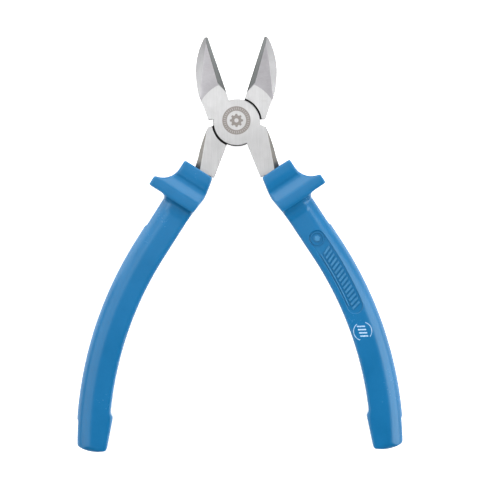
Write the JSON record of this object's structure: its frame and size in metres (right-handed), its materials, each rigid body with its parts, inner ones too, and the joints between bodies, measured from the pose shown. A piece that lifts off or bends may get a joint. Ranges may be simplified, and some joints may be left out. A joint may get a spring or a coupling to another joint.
{
  "type": "diagonal cutting pliers",
  "caption": "Diagonal cutting pliers with a riveted lap joint, bevelled cutting jaws and moulded plastic grips with thumb guards.",
  "frame": {"origin": "on the pivot axis, at the mid-plane of the lap joint", "axes": "+Y from the pivot towards the jaw tips, along the tool's middle; +Z along the pivot axis, out of the face with the front lever's disc; the tool lies flat"},
  "size_m": [0.145, 0.1844, 0.02],
  "materials": {
    "tool_steel": "ground and brushed",
    "rivet_steel": "ground flush",
    "grip_plastic": "semi-gloss moulded"
  },
  "bodies": {
    "front_half": {"front_lever": "tool_steel", "pivot_rivet": "rivet_steel", "front_grip": "grip_plastic"},
    "rear_half": {"rear_lever": "tool_steel", "rear_grip": "grip_plastic"}
  },
  "joints": [
    {"name": "pivot", "type": "hinge", "parent": "front_half", "child": "rear_half", "pos_m": [0, 0, 0], "axis": [0, 0, 1], "range_deg": [-13, 36.4]}
  ]
}
